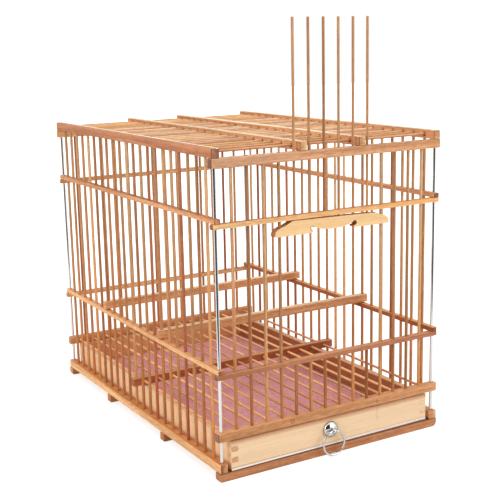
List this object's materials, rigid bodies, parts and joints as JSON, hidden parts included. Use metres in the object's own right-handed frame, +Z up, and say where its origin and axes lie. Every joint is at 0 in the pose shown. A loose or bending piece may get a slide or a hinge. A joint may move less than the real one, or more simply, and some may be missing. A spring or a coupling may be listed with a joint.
{
  "type": "bird cage",
  "caption": "Wood and bamboo bird cage with stick walls, a lifting barred door, cross perches and a floor drawer with a ring pull.",
  "frame": {"origin": "on the floor, at the centre of the whole cage's plan, its ring pull included", "axes": "+X to the right seen from the front, +Y from the drawer front towards the rear wall, +Z up"},
  "size_m": [0.249, 0.376, 0.4033],
  "materials": {
    "rail_wood": "oiled bamboo and hardwood rails, fine straight grain, satin",
    "stick_bamboo": "round bamboo sticks, satin",
    "board_wood": "bare pale yellow wood",
    "drawer_wood": "bare pale softwood with a soft grain",
    "tray_board": "thin fibre board with a white edge",
    "liner_felt": "pink matted fibre mat",
    "rod_steel": "bright drawn wire",
    "pull_chrome": "polished plating"
  },
  "bodies": {
    "cage": {"foot_rail_front": "rail_wood", "foot_rail_mid_front": "rail_wood", "foot_rail_mid_rear": "rail_wood", "foot_rail_rear": "rail_wood", "left_wall_sill_and_sticks": "rail_wood", "right_wall_sill_and_sticks": "rail_wood", "rear_wall_rail_and_sticks": "rail_wood", "lower_rail_front": "rail_wood", "lower_mid_rail_front": "rail_wood", "lower_mid_rail_left": "rail_wood", "lower_mid_rail_right": "rail_wood", "lower_mid_rail_rear": "rail_wood", "upper_mid_rail_front": "rail_wood", "upper_mid_rail_left": "rail_wood", "upper_mid_rail_right": "rail_wood", "upper_mid_rail_rear": "rail_wood", "top_rail_front": "rail_wood", "top_rail_rear": "rail_wood", "roof_rail_left": "rail_wood", "roof_rail_right": "rail_wood", "roof_rail_inner_left_and_sticks": "rail_wood", "roof_rail_inner_right": "rail_wood", "floor_grate": "rail_wood", "corner_rod_front_left": "rod_steel", "corner_rod_front_right": "rod_steel", "corner_rod_rear_left": "rod_steel", "corner_rod_rear_right": "rod_steel", "front_stick_01": "stick_bamboo", "front_stick_02": "stick_bamboo", "front_stick_03": "stick_bamboo", "front_stick_04": "stick_bamboo", "front_stick_05": "stick_bamboo", "front_stick_06": "stick_bamboo", "front_stick_07": "stick_bamboo", "front_stick_08": "stick_bamboo", "front_stick_09": "stick_bamboo", "front_stick_10": "stick_bamboo", "front_stick_11": "stick_bamboo", "front_stick_12": "stick_bamboo", "front_stick_13": "stick_bamboo", "front_stick_14": "stick_bamboo"},
    "front_perch": {"perch_front": "rail_wood"},
    "rear_perch": {"perch_rear": "rail_wood"},
    "door": {"door_board": "board_wood", "door_stick_1": "stick_bamboo", "door_stick_2": "stick_bamboo", "door_stick_3": "stick_bamboo", "door_stick_4": "stick_bamboo", "door_stick_5": "stick_bamboo", "door_stick_6": "stick_bamboo"},
    "drawer": {"drawer_front": "drawer_wood", "drawer_back": "drawer_wood", "drawer_left": "drawer_wood", "drawer_right": "drawer_wood", "drawer_bottom": "tray_board", "tray_liner": "liner_felt", "drawer_knob": "pull_chrome", "knob_nut": "rod_steel"},
    "ring": {"pull_ring": "pull_chrome"}
  },
  "joints": [
    {"name": "door_lift", "type": "slide", "parent": "cage", "child": "door", "axis": [0, 0, 1], "range_m": [-0.1153, 0]},
    {"name": "perch_front_lift", "type": "slide", "parent": "cage", "child": "front_perch", "axis": [0, 0, 1], "range_m": [-0.0012, 0.1194]},
    {"name": "perch_rear_lift", "type": "slide", "parent": "cage", "child": "rear_perch", "axis": [0, 0, 1], "range_m": [-0.0012, 0.1194]},
    {"name": "drawer_pull", "type": "slide", "parent": "cage", "child": "drawer", "axis": [0, -1, 0], "range_m": [0, 0.3]},
    {"name": "ring_swing", "type": "hinge", "parent": "drawer", "child": "ring", "pos_m": [-0.0052, -0.18555, 0.0249], "axis": [-1, 0, 0], "range_deg": [-10, 180]}
  ]
}
